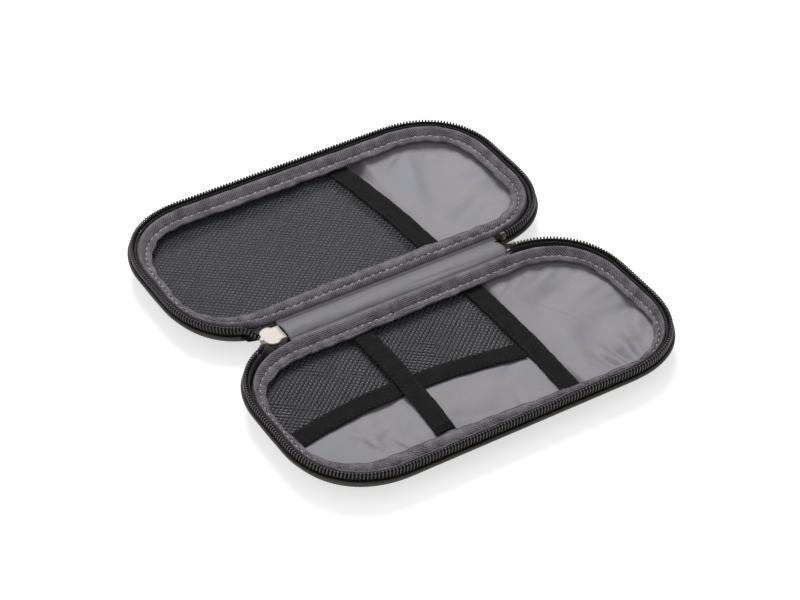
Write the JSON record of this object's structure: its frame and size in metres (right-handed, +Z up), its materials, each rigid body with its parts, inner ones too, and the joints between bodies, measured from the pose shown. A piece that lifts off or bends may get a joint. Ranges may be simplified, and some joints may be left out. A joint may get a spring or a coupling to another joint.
{
  "type": "glucose meter case",
  "caption": "Open zip-up case for a glucose meter kit: two moulded half shells with satin-lined trays, net pockets, an elastic strap, and a soft spine that folds shut.",
  "frame": {"origin": "middle of the hinge gap, on the table plane that the shells rest on", "axes": "+X along the hinge, +Y from the base half to the lid half, +Z up out of the open trays"},
  "size_m": [0.192, 0.2106, 0.015],
  "materials": {
    "shell_fabric": "woven polyester over moulded foam, matt",
    "edge_piping": "woven binding over a cord, matt",
    "zipper_tape": "woven tape, matt",
    "zipper_nylon": "nylon coil with a soft shine",
    "lining_satin": "satin with a soft sheen",
    "border_ribbon": "ribbed ribbon, stitched",
    "net_black": "open knitted net",
    "band_black": "woven elastic, matt",
    "slider_metal": "bright plated die casting"
  },
  "bodies": {
    "base": {"base_shell": "shell_fabric", "base_edge_piping": "edge_piping", "base_zipper_tape": "zipper_tape", "base_zipper_coil": "zipper_nylon", "base_top_stop": "zipper_nylon", "base_lining": "lining_satin", "base_border": "border_ribbon", "base_pocket_panel": "lining_satin", "base_mesh_net": "net_black", "base_pocket_band": "band_black", "base_mesh_band": "band_black", "base_elastic_strap": "band_black"},
    "spine": {"spine_cover": "shell_fabric", "spine_lining": "lining_satin", "zipper_chain_end": "zipper_nylon", "zipper_bottom_stop": "slider_metal"},
    "lid": {"lid_shell": "shell_fabric", "lid_edge_piping": "edge_piping", "lid_zipper_tape": "zipper_tape", "lid_zipper_coil": "zipper_nylon", "lid_top_stop": "zipper_nylon", "lid_lining": "lining_satin", "lid_border": "border_ribbon", "lid_mesh_net": "net_black", "lid_mesh_band": "band_black"},
    "slider": {"zipper_slider": "slider_metal"},
    "pull": {"pull_tab": "slider_metal"}
  },
  "joints": [
    {"name": "spine_fold", "type": "hinge", "parent": "base", "child": "spine", "pos_m": [0, -0.0057, 0.0096], "axis": [1, 0, 0], "range_deg": [0, 90]},
    {"name": "lid_fold", "type": "hinge", "parent": "spine", "child": "lid", "pos_m": [0, 0.0057, 0.0096], "axis": [1, 0, 0], "range_deg": [0, 90]},
    {"name": "slider_slide", "type": "slide", "parent": "spine", "child": "slider", "axis": [-1, 0, 0], "range_m": [0, 0.003]},
    {"name": "pull_swing", "type": "hinge", "parent": "slider", "child": "pull", "pos_m": [-0.06305, 0, 0.00665], "axis": [0, 1, 0], "range_deg": [0, 155]}
  ],
  "couplings": [
    {"joint": "lid_fold", "follows": "spine_fold", "ratio": 1}
  ]
}
